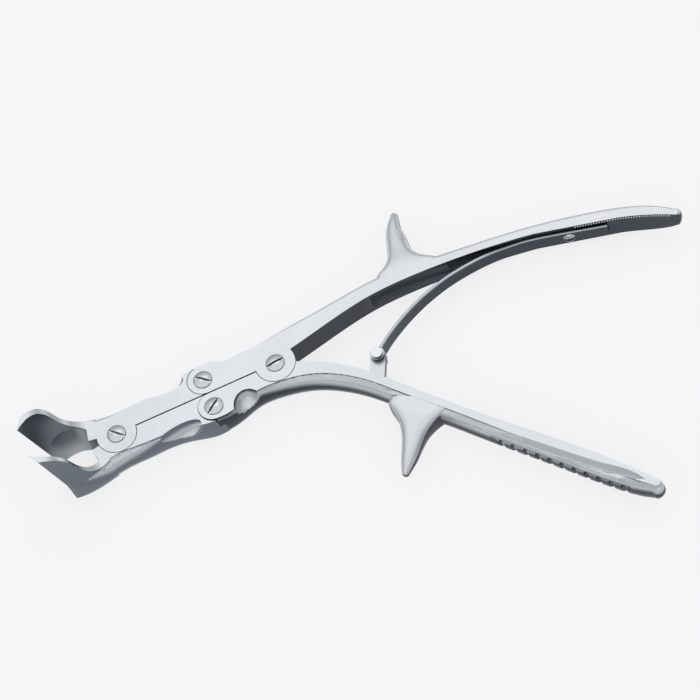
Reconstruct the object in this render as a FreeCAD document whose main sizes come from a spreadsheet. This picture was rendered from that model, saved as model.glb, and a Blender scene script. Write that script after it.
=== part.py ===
import FreeCAD, Part
import math
import os

import Sketcher
from FreeCAD import Placement, Rotation, Vector

# Double-action bone cutting forceps with upturned end-cutting blades.
# The forceps lie flat: X runs along the head from the blades to the handles, Z is up.
# The origin is on the underside, on the axis of the handle pivot.

# Driving sizes in millimetres and degrees, each a cell of the sheet.
SIZES = (
    ("joint_height", 12.4),
    ("slit_gap", 0.6),
    ("lap_gap", 0.06),
    ("boss_gap", 0.3),
    ("jaw_arm", 41.1),
    ("handle_arm", 30.0),
    ("link_offset", 6.8),
    ("pivot_boss_radius", 8.4),
    ("link_boss_radius", 6.5),
    ("jaw_opening", 10.2),
    ("screw_radius", 2.5),
    ("screw_fit", 0.04),
    ("open_pivot_fit", 0.35),
    ("screw_head_radius", 3.8),
    ("screw_head_height", 1.5),
    ("screw_dome_height", 0.9),
    ("screw_recess_depth", 1.3),
    ("screw_recess_fit", 0.25),
    ("screw_slot_width", 1.0),
    ("screw_slot_depth", 1.3),
    ("plate_step", 1.1),
    ("channel_height", 8.6),
    ("channel_depth", 3.2),
    ("spring_height", 7.6),
    ("spring_thickness", 1.3),
    ("spring_seat_gap", 0.05),
    ("spring_screw_radius", 1.5),
    ("spring_screw_head_radius", 2.6),
    ("spring_screw_head_height", 1.2),
    ("spring_screw_length", 4.6),
    ("spring_screw_slot", 0.7),
    ("lug_thickness", 3.4),
    ("lug_half_width", 3.2),
    ("lug_pin_radius", 1.4),
    ("lug_pin_head_radius", 2.4),
    ("lug_pin_head_height", 0.9),
    ("knuckle_radius", 3.0),
    ("blade_height", 36.0),
)

doc = FreeCAD.newDocument("bone_cutter")
sheet = doc.addObject("Spreadsheet::Sheet", "sheet")


def fill_sheet():
    """Write every driving size as text beside its name."""
    for row, (alias, value) in enumerate(SIZES, start=1):
        sheet.set(f"A{row}", alias)
        sheet.set(f"B{row}", str(value))
        sheet.setAlias(f"B{row}", alias)
    doc.recompute()


def size(alias):
    """A driving size as a plain number."""
    return float(sheet.get(alias))


fill_sheet()

HEIGHT = size("joint_height")
SLIT = size("slit_gap") / 2
LAP_TOP = (HEIGHT + size("lap_gap")) / 2
LAP_BOTTOM = (HEIGHT - size("lap_gap")) / 2
OFFSET = size("link_offset")
LINK_BOSS = size("link_boss_radius")
HANDLE_ARM = size("handle_arm")
JAW_ARM = size("jaw_arm")
OPENING = size("jaw_opening")

HANDLE_PIVOT = (0.0, 0.0)
JAW_PIVOT = (-HANDLE_ARM - JAW_ARM, 0.0)
UPPER_LINK = (-HANDLE_ARM, OFFSET)
LOWER_LINK = (-HANDLE_ARM, -OFFSET)

# Where the levels of a rounded side lie, as parts of its height.
SIDE_PARTS = (0.0, 0.06, 0.18, 0.34, 0.5, 0.66, 0.82, 0.94, 1.0)
# How far a handle's tip is pulled in at the top and bottom of its rounded side.
TIP_PULL = 0.5

# Expressions for the heights of the two half laps and of the recesses over and under them.
UNDER_LAP = "(sheet.joint_height + sheet.lap_gap) / 2"
LAP = "(sheet.joint_height - sheet.lap_gap) / 2"
FULL = "sheet.joint_height"
PIVOT_BOSS = "sheet.pivot_boss_radius"
PIVOT_RECESS = "sheet.pivot_boss_radius + sheet.boss_gap"
LINK_RECESS = "sheet.link_boss_radius + sheet.boss_gap"
RUNNING_HOLE = "sheet.screw_radius + sheet.screw_fit"
OPEN_HOLE = "sheet.screw_radius + sheet.open_pivot_fit"
HEAD_RECESS = "sheet.screw_head_radius + sheet.screw_recess_fit"
RECESS_DEPTH = "sheet.screw_recess_depth"


def new_body(name):
    """An empty body whose label names its file."""
    body = doc.addObject("PartDesign::Body", name)
    body.Label = name
    return body


def new_sketch(body, name, level=0.0, role="XY_Plane"):
    """A sketch on one of the body's origin planes, raised along the plane's normal."""
    plane = next(item for item in body.Origin.OriginFeatures if item.Role == role)
    sketch = body.newObject("Sketcher::SketchObject", name)
    sketch.AttachmentSupport = [(plane, "")]
    sketch.MapMode = "FlatFace"
    sketch.AttachmentOffset = Placement(Vector(0, 0, level), Rotation())
    return sketch


def point(xy):
    return Vector(xy[0], xy[1], 0)


def line(sketch, start, end):
    sketch.addGeometry(Part.LineSegment(point(start), point(end)), False)


def arc(sketch, start, middle, end):
    sketch.addGeometry(Part.Arc(point(start), point(middle), point(end)), False)


def curve(sketch, places):
    """A smooth spline through the places."""
    spline = Part.BSplineCurve()
    spline.interpolate([point(place) for place in places])
    sketch.addGeometry(spline, False)


def circle(sketch, centre, radius_expression):
    """A circle whose radius is bound to the sheet and whose centre is held."""
    index = sketch.addGeometry(Part.Circle(point(centre), Vector(0, 0, 1), 1.0), False)
    sketch.addConstraint(Sketcher.Constraint("DistanceX", -1, 1, index, 3, centre[0]))
    sketch.addConstraint(Sketcher.Constraint("DistanceY", -1, 1, index, 3, centre[1]))
    radius = sketch.addConstraint(Sketcher.Constraint("Radius", index, 1.0))
    sketch.setExpression(f"Constraints[{radius}]", radius_expression)


def pad(body, sketch, name, length_expression):
    """Raise a sketch into a solid."""
    feature = body.newObject("PartDesign::Pad", name)
    feature.Profile = sketch
    feature.setExpression("Length", length_expression)
    doc.recompute()
    return feature


def pocket(body, sketch, name, length_expression, reverse=True):
    """Cut from the sketch, and make sure that something was removed."""
    before = body.Shape.Volume
    feature = body.newObject("PartDesign::Pocket", name)
    feature.Profile = sketch
    feature.Reversed = reverse
    feature.setExpression("Length", length_expression)
    doc.recompute()
    if not body.Shape.Volume < before:
        raise RuntimeError(f"{name} cut nothing from {body.Label}")
    return feature


def cut_circle(body, name, centre, radius_expression, level, height_expression):
    """Cut a round recess or hole that starts at a level and goes up."""
    sketch = new_sketch(body, name + "_sketch", level)
    circle(sketch, centre, radius_expression)
    pocket(body, sketch, name, height_expression)


def add_disc(body, name, centre, radius_expression, level, height_expression):
    """Add a round boss that starts at a level and goes up."""
    sketch = new_sketch(body, name + "_sketch", level)
    circle(sketch, centre, radius_expression)
    pad(body, sketch, name, height_expression)


def stack(body, name, sections, ruled=True):
    """Join sections that lie one above the other into a solid."""
    loft = body.newObject("PartDesign::AdditiveLoft", name)
    loft.Profile = sections[0]
    loft.Sections = [(section, [""]) for section in sections[1:]]
    loft.Ruled = ruled
    doc.recompute()
    if body.Shape.isNull() or not body.Shape.isValid():
        raise RuntimeError(f"{name} is no sound solid on {body.Label}")


def hollow(body, name, centre, radii):
    """Mill a smooth hollow, shaped as part of an ellipsoid, out of a body's side."""
    before = body.Shape.Volume
    feature = body.newObject("PartDesign::SubtractiveEllipsoid", name)
    feature.Radius2, feature.Radius3, feature.Radius1 = radii
    feature.Placement = Placement(Vector(*centre), Rotation())
    doc.recompute()
    if not body.Shape.Volume < before:
        raise RuntimeError(f"{name} cut nothing from {body.Label}")


def side_levels():
    """Levels of a rounded side, each with its share of the full setback."""
    top = HEIGHT - size("plate_step")
    return [(top * part, 1 - math.sqrt(1 - (2 * part - 1) ** 2)) for part in SIDE_PARTS]


def head_recess(body, name, centre):
    """The round recess in the top face that takes a screw's head."""
    cut_circle(body, name, centre, HEAD_RECESS, HEIGHT - size("screw_recess_depth"), RECESS_DEPTH)


# Jaws. Each is drawn closed, about its own pivot, with side 1 for the upper and -1 for the lower.
# The cutting edge leans forward as it rises: places are for the underside, the top face, the tip.
EDGE = ((-26.6, 0.03), (-29.8, 0.03), (-36.0, 0.03))
FRONT_CORNER = ((-27.6, 8.2), (-28.4, 8.4), (-34.0, 5.6))
OUTER_END = ((-8.0, 12.0), (-8.0, 12.0), (-20.0, 10.8))
INNER_END = ((-8.0, 0.4), (-8.0, 0.4), (-20.0, 8.4))
HOLLOW = ((-18.0, 3.4), (-20.5, 7.9), (-29.0, 5.6))
OUTER_BULGE = ((-18.5, 11.0), (-19.0, 11.0), (-27.5, 8.6))
BLADE_BACK = ((-12.4, 12.4), (-18.6, 16.6), (-22.5, 25.5), (-26.4, 33.4), (-31.5, 36.0))
WAIST = ((-2.0, 12.2), (10.0, 11.2), (20.5, 10.2), (27.0, 11.2), (34.0, 13.2))
# How far the raised plate stands back from the outer side: at the waist's places, root and heel.
WAIST_SETBACK = (3.4, 1.8, 0.5, 0.5, 0.5)
JAW_SETBACK = 3.4
HEEL_SETBACK = 0.9
PLATE_FRONT = -12.0
# The milled hollow at the waist: its middle, and its radii along, across and upwards.
JAW_HOLLOW = (21.8, 13.0, 11.0)
JAW_HOLLOW_RADII = (12.5, 4.6, 6.5)


def turned(place, angle):
    """A place in plan turned about the origin."""
    cos = math.cos(math.radians(angle))
    sin = math.sin(math.radians(angle))
    return (place[0] * cos - place[1] * sin, place[0] * sin + place[1] * cos)


def at_level(places, level):
    """The place at a level, between those for the underside, the top face and the tip."""
    if level <= HEIGHT:
        share = level / HEIGHT
        low, high = places[0], places[1]
    else:
        share = (level - HEIGHT) / (size("blade_height") - HEIGHT)
        low, high = places[1], places[2]
    return tuple(low[axis] + share * (high[axis] - low[axis]) for axis in range(2))


def jaw_section(body, side, name, level, share):
    """One level of the hooked jaw: front face, outer side, root and hollow inner side."""
    flip = lambda place: (place[0], side * place[1])
    sketch = new_sketch(body, name, level)
    edge = flip(at_level(EDGE, level))
    corner = flip(at_level(FRONT_CORNER, level))
    outer = at_level(OUTER_END, level)
    outer = flip((outer[0], outer[1] - share * JAW_SETBACK))
    bulge = at_level(OUTER_BULGE, level)
    bulge = flip((bulge[0], bulge[1] - share * HEEL_SETBACK))
    inner = flip(at_level(INNER_END, level))
    line(sketch, edge, corner)
    arc(sketch, corner, bulge, outer)
    line(sketch, outer, inner)
    arc(sketch, inner, flip(at_level(HOLLOW, level)), edge)
    return sketch


def jaw_blade(body, side):
    """Loft the hooked blade through its levels, then trim its back to a half-moon."""
    blade_top = size("blade_height")
    sections = [jaw_section(body, side, f"heel_{index}", level, share)
                for index, (level, share) in enumerate(side_levels())]
    sections.append(jaw_section(body, side, "blade_root", HEIGHT, 1.0))
    sections.append(jaw_section(body, side, "blade_tip", blade_top, 0.0))
    stack(body, "blade", sections)
    back = new_sketch(body, "blade_back", 0.0, "XZ_Plane")
    clear = size("pivot_boss_radius")
    above = blade_top + clear
    curve(back, BLADE_BACK)
    line(back, BLADE_BACK[-1], (BLADE_BACK[-1][0], above))
    line(back, (BLADE_BACK[-1][0], above), (clear, above))
    line(back, (clear, above), (clear, HEIGHT))
    line(back, (clear, HEIGHT), BLADE_BACK[0])
    trim = body.newObject("PartDesign::Pocket", "blade_trim")
    trim.Profile = back
    trim.SideType = "Symmetric"
    trim.setExpression("Length", "8 * sheet.pivot_boss_radius")
    doc.recompute()


def jaw_plate_loop(body, side, name, level, share):
    """One level of the flat lever: slit, link boss and waisted outer side."""
    to_jaw = lambda place: turned((place[0], side * place[1]), side * OPENING)
    sketch = new_sketch(body, name, level)
    outer_front = (PLATE_FRONT, side * (OUTER_END[0][1] - share * JAW_SETBACK))
    inner_front = (PLATE_FRONT, side * SLIT)
    slit_start = to_jaw((0.0, SLIT))
    slit_end = to_jaw((JAW_ARM, OFFSET - LINK_BOSS))
    boss_back = to_jaw((JAW_ARM + LINK_BOSS, OFFSET))
    waist = [to_jaw((x, y - share * distance)) for (x, y), distance in zip(WAIST, WAIST_SETBACK)]
    boss_top = to_jaw((JAW_ARM, OFFSET + LINK_BOSS))
    line(sketch, inner_front, slit_start)
    line(sketch, slit_start, slit_end)
    arc(sketch, slit_end, boss_back, boss_top)
    curve(sketch, [boss_top] + waist[::-1] + [outer_front])
    line(sketch, outer_front, inner_front)
    return sketch


def jaw_plate(body, side):
    """The lever behind the blade: a layer with a rounded side and the raised plate on it."""
    sections = [jaw_plate_loop(body, side, f"side_{index}", level, share)
                for index, (level, share) in enumerate(side_levels())]
    stack(body, "lever", sections)
    pad(body, jaw_plate_loop(body, side, "plate_outline", 0.0, 1.0), "plate", FULL)


def make_jaw(name, side):
    """A jaw lever, opened about its pivot by its placement."""
    body = new_body(name)
    jaw_plate(body, side)
    jaw_blade(body, side)
    waist = turned((JAW_HOLLOW[0], side * JAW_HOLLOW[1]), side * OPENING)
    hollow(body, "waist_hollow", (*waist, JAW_HOLLOW[2]), JAW_HOLLOW_RADII)
    link = turned((JAW_ARM, side * OFFSET), side * OPENING)
    if side > 0:
        cut_circle(body, "pivot_recess", (0, 0), PIVOT_RECESS, 0.0, UNDER_LAP)
        add_disc(body, "pivot_boss", (0, 0), PIVOT_BOSS, LAP_TOP, LAP)
        cut_circle(body, "pivot_hole", (0, 0), RUNNING_HOLE, 0.0, FULL)
        head_recess(body, "pivot_head_recess", (0, 0))
    else:
        cut_circle(body, "pivot_recess", (0, 0), PIVOT_RECESS, LAP_BOTTOM, UNDER_LAP)
        add_disc(body, "pivot_boss", (0, 0), PIVOT_BOSS, 0.0, LAP)
        cut_circle(body, "pivot_hole", (0, 0), RUNNING_HOLE, 0.0, FULL)
    cut_circle(body, "link_recess", link, LINK_RECESS, LAP_BOTTOM, UNDER_LAP)
    cut_circle(body, "link_hole", link, RUNNING_HOLE, 0.0, FULL)
    turn = Rotation(Vector(0, 0, 1), -side * OPENING)
    body.Placement = Placement(Vector(JAW_PIVOT[0], JAW_PIVOT[1], 0), turn)
    return body


# Handles, drawn open in the plan of the forceps.
UPPER_INNER = ((7.6, 3.2), (24.0, 6.9), (46.0, 11.0), (66.0, 11.6), (84.0, 10.6), (104.0, 8.4), (118.0, 6.1))
UPPER_SEAT_END = (152.0, -3.2)
UPPER_TIP_IN = ((152.0, -3.2), (164.0, -8.0), (174.2, -13.4))
UPPER_TIP = (176.6, -11.6)
UPPER_OUTER = ((175.0, -8.6), (169.0, -3.4), (158.0, 2.4), (139.4, 8.2), (118.5, 12.8), (98.0, 15.8),
               (76.0, 18.4), (52.0, 20.2), (28.0, 17.8), (0.0, 14.4), (-13.0, 12.6), (-21.0, 13.1),
               (-30.0, 13.3))
LOWER_INNER = ((7.6, -3.2), (17.4, -8.2), (26.0, -14.6), (39.4, -28.2), (56.6, -48.3), (84.0, -78.2),
               (111.8, -109.6), (120.4, -121.0))
LOWER_TIP = (121.0, -126.0)
LOWER_OUTER = ((116.6, -124.6), (108.0, -116.8), (87.1, -93.6), (66.9, -70.6), (54.0, -55.6),
               (41.0, -41.2), (30.0, -28.6), (20.4, -20.4), (10.0, -14.4), (-2.0, -11.0), (-13.0, -10.2),
               (-21.0, -12.4), (-30.0, -13.3))
# How far the raised top plate stands back from the outer side, place by place along the outer line.
UPPER_SETBACK = (2.2, 2.8, 3.4, 3.6, 3.6, 3.6, 3.6, 3.6, 3.4, 2.6, 1.2, 0.3, 0.0)
LOWER_SETBACK = (2.2, 2.8, 3.4, 3.6, 3.6, 3.6, 3.6, 3.6, 3.2, 2.4, 1.4, 0.9, 0.7)
# Finger spurs: the middle line, and half the width and half the height at each of its places.
UPPER_SPUR_LINE = ((65.2, 13.5), (65.0, 18.5), (65.0, 22.0), (65.6, 27.5), (67.0, 36.0), (69.4, 44.6))
UPPER_SPUR_HALVES = ((10.5, 5.6), (8.2, 5.5), (6.2, 5.2), (4.6, 4.6), (3.1, 3.6), (1.4, 1.9))
LOWER_SPUR_LINE = ((45.6, -45.4), (43.9, -48.2), (42.4, -50.8), (39.4, -55.4), (34.9, -62.2), (30.3, -68.6))
LOWER_SPUR_HALVES = ((10.4, 5.6), (8.8, 5.5), (6.8, 5.2), (4.8, 4.6), (3.2, 3.6), (1.4, 1.9))
SPUR_ROUNDING = 0.75
# Milled hollows at the handles' waists: middle, then radii along, across and upwards.
UPPER_HOLLOW = (-17.0, 16.5, 11.0)
UPPER_HOLLOW_RADII = (8.0, 6.0, 6.5)
LOWER_HOLLOW = (-16.5, -13.5, 12.5)
LOWER_HOLLOW_RADII = (6.5, 8.0, 6.5)


def spur_section(body, name, place, heading, half_width, half_height):
    """One upright section of a spur: a rounded box across its middle line."""
    sketch = new_sketch(body, name, 0.0, "XZ_Plane")
    turn = Rotation(Vector(0, 1, 0), heading)
    sketch.AttachmentOffset = Placement(Vector(place[0], HEIGHT / 2, -place[1]), turn)
    flat_width = half_width - SPUR_ROUNDING * min(half_width, half_height)
    flat_height = half_height - SPUR_ROUNDING * min(half_width, half_height)
    corner = SPUR_ROUNDING * min(half_width, half_height) * (1 - math.sqrt(0.5))
    quarter = ((half_width, flat_height), (half_width - corner, half_height - corner),
               (flat_width, half_height))
    for sign_x, sign_y in ((1, 1), (-1, 1), (-1, -1), (1, -1)):
        marks = [(sign_x * x, sign_y * y) for x, y in quarter]
        if sign_x * sign_y < 0:
            marks = marks[::-1]
        arc(sketch, *marks)
        if sign_x * sign_y > 0:
            line(sketch, marks[2], (-marks[2][0], marks[2][1]))
        else:
            line(sketch, marks[2], (marks[2][0], -marks[2][1]))
    return sketch


def spur(body, places, halves):
    """The finger spur, a tapering horn that grows out of the handle's outer side."""
    root, tip = places[0], places[-1]
    heading = math.degrees(math.atan2(tip[0] - root[0], abs(tip[1] - root[1])))
    heading = -heading if tip[1] > root[1] else heading
    sections = [spur_section(body, f"spur_{index}", place, heading, *half)
                for index, (place, half) in enumerate(zip(places, halves))]
    stack(body, "spur", sections, ruled=False)


def handle_loop(sketch, side, inner, seat_end, tip_in, tip, outer):
    """The closed outline of a handle: slit, inner side, rounded tip, outer side and link boss."""
    slit_front = (-HANDLE_ARM, side * (OFFSET - LINK_BOSS))
    slit_back = (0.0, side * SLIT)
    line(sketch, slit_front, slit_back)
    line(sketch, slit_back, inner[0])
    curve(sketch, inner)
    if seat_end:
        line(sketch, inner[-1], seat_end)
        curve(sketch, tip_in)
    last = tip_in[-1] if tip_in else inner[-1]
    arc(sketch, last, tip, outer[0])
    curve(sketch, outer)
    boss_front = (-HANDLE_ARM - LINK_BOSS, side * OFFSET)
    arc(sketch, outer[-1], boss_front, slit_front)


def set_back(places, distances, side):
    """An outer line moved inwards by a distance at each of its places."""
    full = shifted(places, side)
    return [(x + (fx - x) * distance, y + (fy - y) * distance)
            for (x, y), (fx, fy), distance in zip(places, full, distances)]


def handle_outline(body, side, inner, seat_end, tip_in, tip, outer, setback):
    """The handle's layer with a rounded outer side, and the raised plate on it."""
    last = tip_in[-1] if tip_in else inner[-1]

    def section(name, level, share):
        sketch = new_sketch(body, name, level)
        level_outer = set_back(outer, [share * distance for distance in setback], side)
        chord = [(last[axis] + level_outer[0][axis]) / 2 for axis in range(2)]
        pull = TIP_PULL * share
        level_tip = tuple(tip[axis] + pull * (chord[axis] - tip[axis]) for axis in range(2))
        handle_loop(sketch, side, inner, seat_end, tip_in, level_tip, level_outer)
        return sketch

    sections = [section(f"side_{index}", level, share)
                for index, (level, share) in enumerate(side_levels())]
    stack(body, "handle", sections)
    pad(body, section("plate_outline", 0.0, 1.0), "plate", FULL)


def spring_channel(body):
    """The hollow in the inner side that the leaf spring folds into."""
    depth = size("channel_depth")
    level = (HEIGHT - size("channel_height")) / 2
    start = 2
    floor = [(x + 0.1 * depth, y + depth) for x, y in UPPER_INNER[start:]]
    sketch = new_sketch(body, "channel_outline", level)
    below_start = (UPPER_INNER[start][0], UPPER_INNER[start][1] - depth)
    below_end = (UPPER_INNER[-1][0], UPPER_INNER[-1][1] - depth)
    curve(sketch, floor)
    line(sketch, floor[-1], below_end)
    line(sketch, below_end, below_start)
    line(sketch, below_start, floor[0])
    pocket(body, sketch, "channel", "sheet.channel_height")


def make_upper_handle():
    """The handle whose half laps lie on top."""
    body = new_body("upper_handle")
    handle_outline(body, 1, UPPER_INNER, UPPER_SEAT_END, UPPER_TIP_IN, UPPER_TIP, UPPER_OUTER,
                   UPPER_SETBACK)
    spur(body, UPPER_SPUR_LINE, UPPER_SPUR_HALVES)
    spring_channel(body)
    hollow(body, "waist_hollow", UPPER_HOLLOW, UPPER_HOLLOW_RADII)
    cut_circle(body, "link_recess", UPPER_LINK, LINK_RECESS, 0.0, UNDER_LAP)
    cut_circle(body, "link_hole", UPPER_LINK, OPEN_HOLE, 0.0, FULL)
    head_recess(body, "link_head_recess", UPPER_LINK)
    cut_circle(body, "pivot_recess", HANDLE_PIVOT, PIVOT_RECESS, 0.0, UNDER_LAP)
    add_disc(body, "pivot_boss", HANDLE_PIVOT, PIVOT_BOSS, LAP_TOP, LAP)
    cut_circle(body, "pivot_hole", HANDLE_PIVOT, RUNNING_HOLE, 0.0, FULL)
    head_recess(body, "pivot_head_recess", HANDLE_PIVOT)
    return body


def make_lower_handle():
    """The handle that lies under at the handle pivot and on top at its link."""
    body = new_body("lower_handle")
    handle_outline(body, -1, LOWER_INNER, None, None, LOWER_TIP, LOWER_OUTER, LOWER_SETBACK)
    cut_circle(body, "link_recess", LOWER_LINK, LINK_RECESS, 0.0, UNDER_LAP)
    cut_circle(body, "link_hole", LOWER_LINK, RUNNING_HOLE, 0.0, FULL)
    head_recess(body, "link_head_recess", LOWER_LINK)
    cut_circle(body, "pivot_recess", HANDLE_PIVOT, PIVOT_RECESS, LAP_BOTTOM, UNDER_LAP)
    add_disc(body, "pivot_boss", HANDLE_PIVOT, PIVOT_BOSS, 0.0, LAP)
    cut_circle(body, "pivot_hole", HANDLE_PIVOT, RUNNING_HOLE, 0.0, FULL)
    spur(body, LOWER_SPUR_LINE, LOWER_SPUR_HALVES)
    hollow(body, "waist_hollow", LOWER_HOLLOW, LOWER_HOLLOW_RADII)
    return body


def make_screw(name, centre, slot_angle):
    """A pivot screw: shank flush with the underside, domed and slotted head in its recess."""
    body = new_body(name)
    seat_gap = 0.05
    seat = HEIGHT - size("screw_recess_depth") + seat_gap
    shoulder = seat + size("screw_head_height")
    crown = shoulder + size("screw_dome_height")
    radius = size("screw_radius")
    head = size("screw_head_radius")
    dome_share = 0.62
    sketch = new_sketch(body, "profile", 0.0, "XZ_Plane")
    line(sketch, (0, 0), (radius, 0))
    line(sketch, (radius, 0), (radius, seat))
    line(sketch, (radius, seat), (head, seat))
    line(sketch, (head, seat), (head, shoulder))
    middle_rise = size("screw_dome_height") * (1 - dome_share ** 2)
    arc(sketch, (head, shoulder), (head * dome_share, shoulder + middle_rise), (0, crown))
    line(sketch, (0, crown), (0, 0))
    turned_screw = body.newObject("PartDesign::Revolution", "turned_screw")
    turned_screw.Profile = sketch
    turned_screw.ReferenceAxis = (sketch, ["V_Axis"])
    turned_screw.Angle = 360
    doc.recompute()
    half_slot = size("screw_slot_width") / 2
    reach = head + half_slot
    slot = new_sketch(body, "slot_outline", crown - size("screw_slot_depth"))
    corners = ((-reach, -half_slot), (reach, -half_slot), (reach, half_slot), (-reach, half_slot))
    for start, end in zip(corners, corners[1:] + corners[:1]):
        line(slot, start, end)
    pocket(body, slot, "slot", "sheet.screw_slot_depth + sheet.screw_dome_height")
    turn = Rotation(Vector(0, 0, 1), slot_angle)
    body.Placement = Placement(Vector(centre[0], centre[1], 0), turn)
    return body


# Spring: a leaf that is screwed to the upper handle and hooks round a pin on the lower one.
KNUCKLE = (39.6, -14.0)
SPRING_LINE = ((41.2, -12.6), (54.3, -3.6), (68.9, 3.0), (80.0, 6.0), (94.0, 7.6), (106.0, 7.2))
LUG_FOOT = (34.6, -25.2)


def seat_direction():
    """The unit direction of the straight stretch that the spring lies on."""
    run = UPPER_SEAT_END[0] - UPPER_INNER[-1][0]
    drop = UPPER_SEAT_END[1] - UPPER_INNER[-1][1]
    length = math.hypot(run, drop)
    return (run / length, drop / length)


def below_seat(distance_along, distance_below):
    """A place beside the spring's seat, measured from the seat's first end."""
    along = seat_direction()
    x = UPPER_INNER[-1][0] + distance_along * along[0] + distance_below * along[1]
    y = UPPER_INNER[-1][1] + distance_along * along[1] - distance_below * along[0]
    return (x, y)


def shifted(places, distance):
    """The places moved sideways from their own line by a distance."""
    result = []
    for index, place in enumerate(places):
        before = places[max(index - 1, 0)]
        after = places[min(index + 1, len(places) - 1)]
        length = math.hypot(after[0] - before[0], after[1] - before[1])
        normal = (-(after[1] - before[1]) / length, (after[0] - before[0]) / length)
        result.append((place[0] + distance * normal[0], place[1] + distance * normal[1]))
    return result


SPRING_TAIL = 30.0
SPRING_SCREW_AT = 14.0


def make_leaf_spring():
    """The leaf: a straight tail on its seat, a bowed blade and a ring round the pin."""
    body = new_body("leaf_spring")
    half = size("spring_thickness") / 2
    drop = size("spring_seat_gap") + half
    centre_line = list(SPRING_LINE) + [below_seat(1.0, drop)]
    tail = below_seat(SPRING_TAIL, drop)
    upper = shifted(centre_line, half)
    lower = shifted(centre_line, -half)
    upper[-1] = below_seat(1.0, drop - half)
    lower[-1] = below_seat(1.0, drop + half)
    level = (HEIGHT - size("spring_height")) / 2
    sketch = new_sketch(body, "leaf_outline", level)
    curve(sketch, upper)
    line(sketch, upper[-1], below_seat(SPRING_TAIL, drop - half))
    line(sketch, below_seat(SPRING_TAIL, drop - half), below_seat(SPRING_TAIL, drop + half))
    line(sketch, below_seat(SPRING_TAIL, drop + half), lower[-1])
    curve(sketch, lower[::-1])
    line(sketch, lower[0], upper[0])
    pad(body, sketch, "leaf", "sheet.spring_height")
    add_disc(body, "knuckle", KNUCKLE, "sheet.knuckle_radius", level, "sheet.spring_height")
    cut_circle(body, "pin_hole", KNUCKLE, "sheet.lug_pin_radius + sheet.screw_fit", level,
               "sheet.spring_height")
    fork = (HEIGHT - size("lug_thickness") - 2 * size("boss_gap")) / 2
    cut_circle(body, "fork_gap", KNUCKLE, "sheet.knuckle_radius + 2 * sheet.spring_thickness", fork,
               "sheet.lug_thickness + 2 * sheet.boss_gap")
    screw_hole(body)
    return body


def screw_hole(body):
    """The hole through the leaf or the handle for the spring's screw."""
    place = below_seat(SPRING_SCREW_AT, 0.0)
    along = seat_direction()
    normal = Vector(-along[1], along[0], 0)
    feature = body.newObject("PartDesign::SubtractiveCylinder", "spring_screw_hole")
    feature.setExpression("Radius", "sheet.spring_screw_radius + sheet.screw_fit")
    feature.setExpression("Height", "2 * sheet.spring_screw_length")
    start = Vector(place[0], place[1], HEIGHT / 2) - normal * size("spring_screw_length")
    feature.Placement = Placement(start, Rotation(Vector(0, 0, 1), normal))
    doc.recompute()


def make_spring_screw():
    """The small slotted screw that holds the leaf on its seat."""
    body = new_body("spring_screw")
    radius = size("spring_screw_radius")
    head = size("spring_screw_head_radius")
    length = size("spring_screw_length")
    rise = size("spring_screw_head_height")
    half_rise = 0.7
    sketch = new_sketch(body, "profile", 0.0, "XZ_Plane")
    line(sketch, (0, -length), (radius, -length))
    line(sketch, (radius, -length), (radius, 0))
    line(sketch, (radius, 0), (head, 0))
    arc(sketch, (head, 0), (head * half_rise, rise * half_rise), (0, rise))
    line(sketch, (0, rise), (0, -length))
    turned_screw = body.newObject("PartDesign::Revolution", "turned_screw")
    turned_screw.Profile = sketch
    turned_screw.ReferenceAxis = (sketch, ["V_Axis"])
    turned_screw.Angle = 360
    doc.recompute()
    half_slot = size("spring_screw_slot") / 2
    slot = new_sketch(body, "slot_outline", rise / 3)
    corners = ((-head, -half_slot), (head, -half_slot), (head, half_slot), (-head, half_slot))
    for start, end in zip(corners, corners[1:] + corners[:1]):
        line(slot, start, end)
    pocket(body, slot, "slot", "sheet.spring_screw_head_height")
    along = seat_direction()
    outward = Vector(along[1], -along[0], 0)
    drop = 2 * size("spring_seat_gap") + size("spring_thickness")
    place = below_seat(SPRING_SCREW_AT, drop)
    body.Placement = Placement(Vector(place[0], place[1], HEIGHT / 2), Rotation(Vector(0, 0, 1), outward))
    return body


def make_spring_lug():
    """The flat lug that stands in the lower handle and carries the spring's pin."""
    body = new_body("spring_lug")
    half = size("lug_half_width")
    run = (KNUCKLE[0] - LUG_FOOT[0], KNUCKLE[1] - LUG_FOOT[1])
    length = math.hypot(*run)
    up = (run[0] / length, run[1] / length)
    across = (up[1], -up[0])
    place = lambda along, aside: (LUG_FOOT[0] + up[0] * along + across[0] * aside,
                                  LUG_FOOT[1] + up[1] * along + across[1] * aside)
    level = (HEIGHT - size("lug_thickness")) / 2
    sketch = new_sketch(body, "lug_outline", level)
    line(sketch, place(0, -half), place(0, half))
    line(sketch, place(0, half), place(length, half))
    arc(sketch, place(length, half), place(length + half, 0), place(length, -half))
    line(sketch, place(length, -half), place(0, -half))
    pad(body, sketch, "lug", "sheet.lug_thickness")
    cut_circle(body, "pin_hole", KNUCKLE, "sheet.lug_pin_radius + sheet.screw_fit", level,
               "sheet.lug_thickness")
    return body


def make_lug_pin():
    """The headed pin through the lug and the two cheeks of the spring's ring."""
    body = new_body("lug_pin")
    bottom = (HEIGHT - size("spring_height")) / 2
    top = bottom + size("spring_height")
    add_disc(body, "shank", (0, 0), "sheet.lug_pin_radius", bottom, "sheet.spring_height")
    add_disc(body, "top_head", (0, 0), "sheet.lug_pin_head_radius", top, "sheet.lug_pin_head_height")
    low = bottom - size("lug_pin_head_height")
    add_disc(body, "low_head", (0, 0), "sheet.lug_pin_head_radius", low, "sheet.lug_pin_head_height")
    body.Placement = Placement(Vector(KNUCKLE[0], KNUCKLE[1], 0), Rotation())
    return body


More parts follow.
